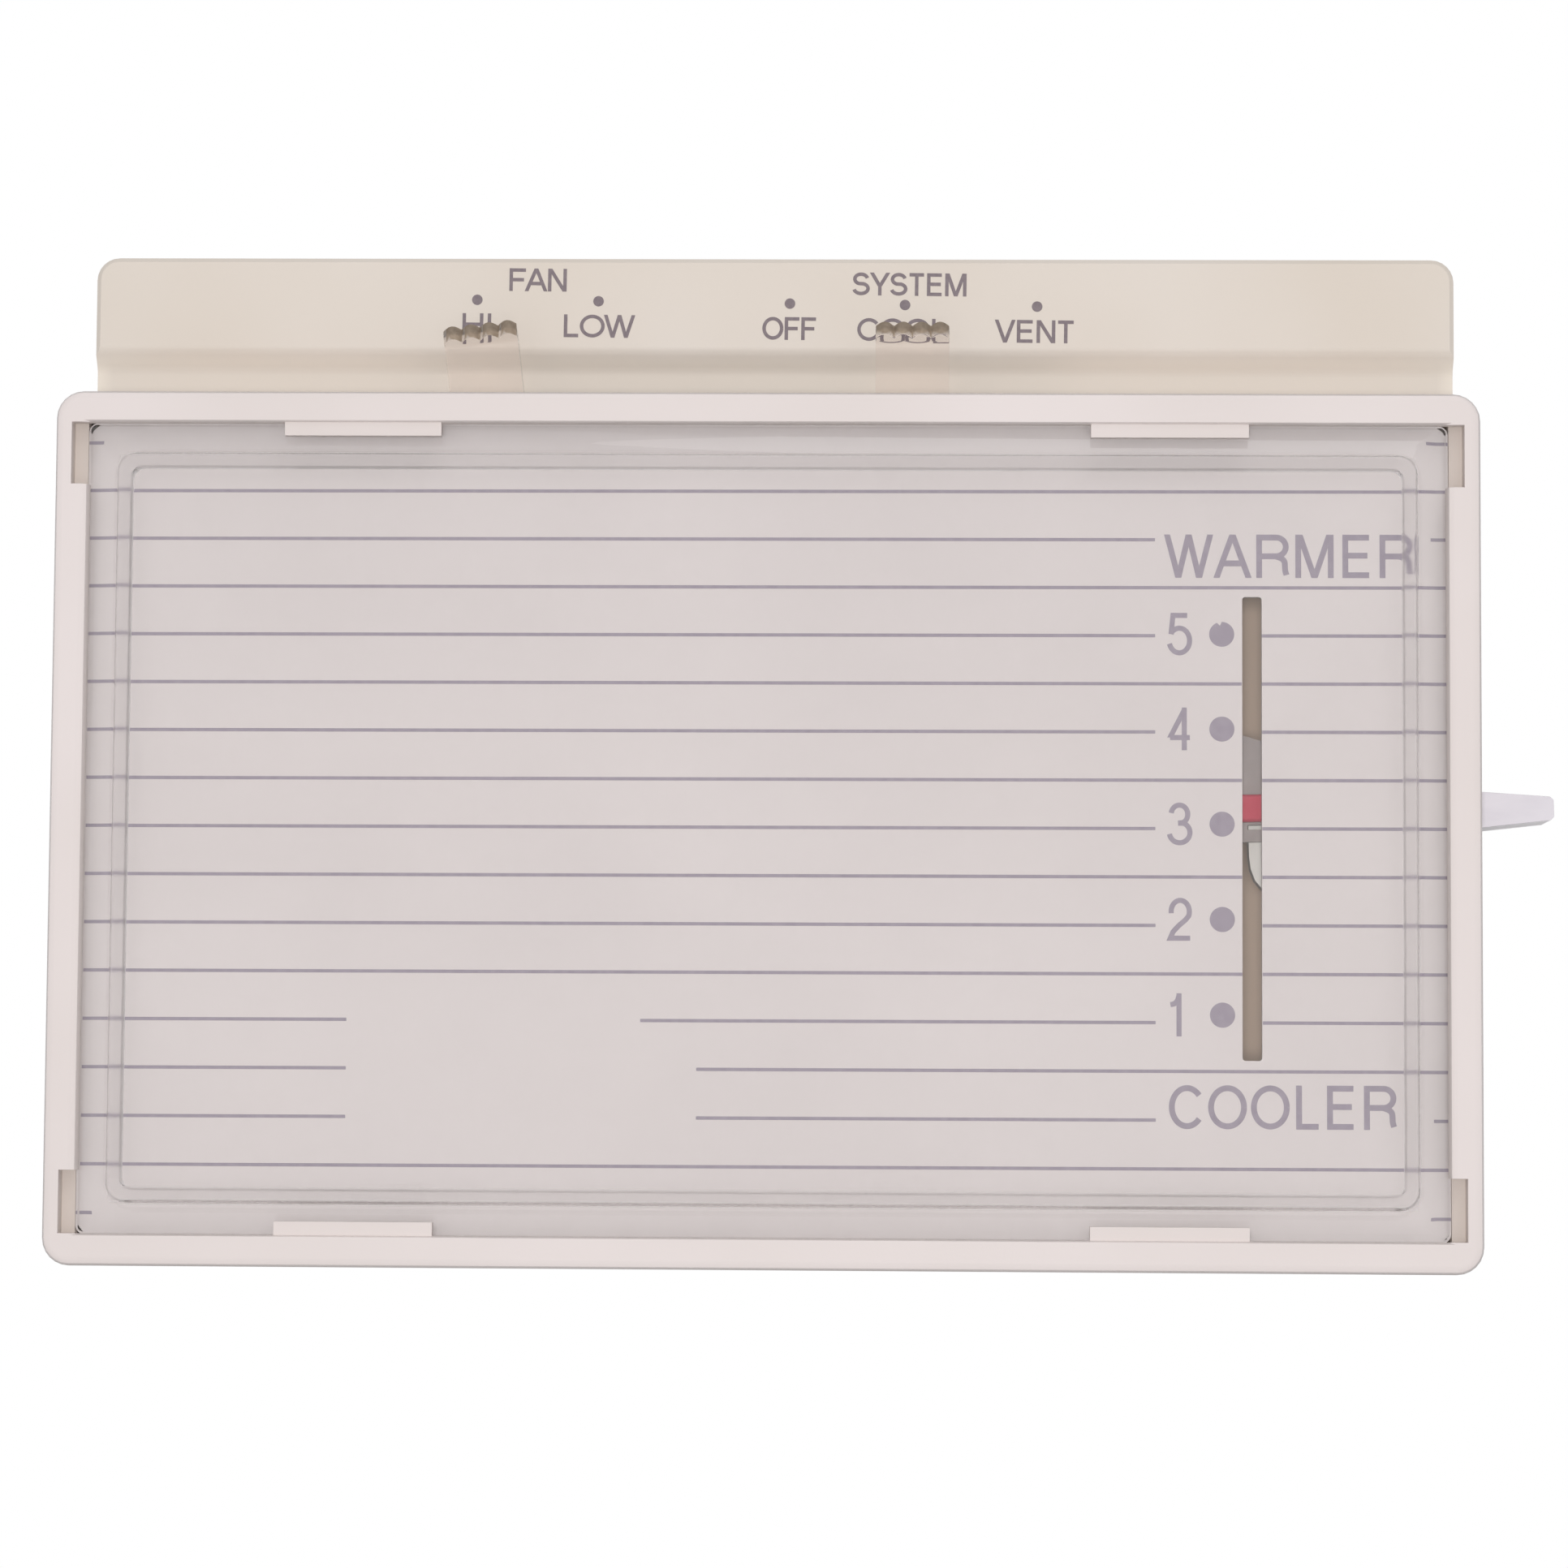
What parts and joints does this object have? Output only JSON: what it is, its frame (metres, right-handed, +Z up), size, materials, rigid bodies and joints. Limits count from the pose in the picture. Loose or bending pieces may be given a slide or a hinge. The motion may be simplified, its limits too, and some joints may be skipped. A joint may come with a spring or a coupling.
{
  "type": "wall thermostat",
  "caption": "Low-voltage wall thermostat with a clear-windowed push-on cover, a label strip with FAN and SYSTEM levers, and a side setpoint lever on a bimetal coil switch.",
  "frame": {"origin": "middle of the cover's outline on the wall plane, at the tray's flat back", "axes": "+X to the right seen from the front, +Y into the wall, +Z up; the front faces -Y"},
  "size_m": [0.1281, 0.0366, 0.0893],
  "materials": {
    "cream_abs": "moulded ABS, fine satin",
    "white_abs": "moulded ABS, satin",
    "clear_window": "clear moulded styrene, polished",
    "clear_lever": "clear moulded acrylic",
    "printed_metal": "satin silver metal sheet with printed lines",
    "steel": "zinc-plated steel",
    "grey_steel": "grey-painted sheet steel",
    "nickel": "nickel plate",
    "brass": "brass strip",
    "bronze": "phosphor bronze or bimetal strip",
    "phenolic": "paper phenolic board",
    "red_plastic": "red moulded plastic",
    "white_acetal": "white moulded acetal",
    "magnet_grey": "sintered magnet",
    "screen_ink": "screen-printed grey-mauve ink",
    "resistor_ceramic": "wire-wound ceramic"
  },
  "bodies": {
    "base": {"base_plate": "cream_abs", "switch_board": "phenolic", "board_screw_1": "steel", "board_screw_2": "steel", "board_screw_3": "steel", "board_screw_4": "steel", "fan_contact_high": "brass", "fan_contact_low": "brass", "fan_contact_common": "brass", "system_contact_cool": "brass", "system_contact_vent": "brass", "system_contact_common": "brass", "fan_pivot": "nickel", "system_pivot": "nickel", "terminal_plate_1": "brass", "terminal_plate_2": "brass", "terminal_plate_3": "brass", "terminal_plate_4": "brass", "terminal_plate_5": "brass", "terminal_screw_1": "nickel", "terminal_screw_2": "nickel", "terminal_screw_3": "nickel", "terminal_screw_4": "nickel", "terminal_screw_5": "nickel", "anticipator": "resistor_ceramic", "contact_bracket": "brass", "contact_bracket_screw": "steel", "contact_screw": "nickel", "magnet_bracket": "steel", "magnet_bracket_screw": "steel", "magnet": "magnet_grey", "coil_post": "nickel", "friction_washer": "bronze", "retaining_ring": "steel"},
    "cover": {"cover_frame": "white_abs", "window": "clear_window", "faceplate": "printed_metal"},
    "setpoint": {"setpoint_arm": "grey_steel", "setpoint_pointer": "red_plastic", "setpoint_handle": "white_acetal", "coil_arbor": "brass", "bimetal_coil": "bronze"},
    "contact": {"contact_arm": "bronze", "moving_contact": "nickel", "armature": "steel"},
    "fan_switch": {"fan_lever": "clear_lever", "fan_wiper": "bronze", "fan_wiper_rivet": "nickel"},
    "system_switch": {"system_lever": "clear_lever", "system_wiper": "bronze", "system_wiper_rivet": "nickel"}
  },
  "joints": [
    {"name": "cover_pull", "type": "slide", "parent": "base", "child": "cover", "axis": [0, -1, 0], "range_m": [0, 0.04]},
    {"name": "setpoint_turn", "type": "hinge", "parent": "base", "child": "setpoint", "pos_m": [-0.028, -0.0268, 0.00035], "axis": [0, -1, 0], "range_deg": [-15.4, 12.5]},
    {"name": "contact_swing", "type": "hinge", "parent": "base", "child": "contact", "pos_m": [-0.028, -0.0234, 0.00035], "axis": [0, -1, 0], "range_deg": [0, 2.4], "stiffness_Nm_per_rad": 0.004},
    {"name": "fan_select", "type": "hinge", "parent": "base", "child": "fan_switch", "pos_m": [-0.0213, -0.0189, 0.0073], "axis": [0, -1, 0], "range_deg": [-14.6, 0]},
    {"name": "system_select", "type": "hinge", "parent": "base", "child": "system_switch", "pos_m": [0.0124, -0.0189, 0.0073], "axis": [0, -1, 0], "range_deg": [-15.1, 15.1]}
  ]
}
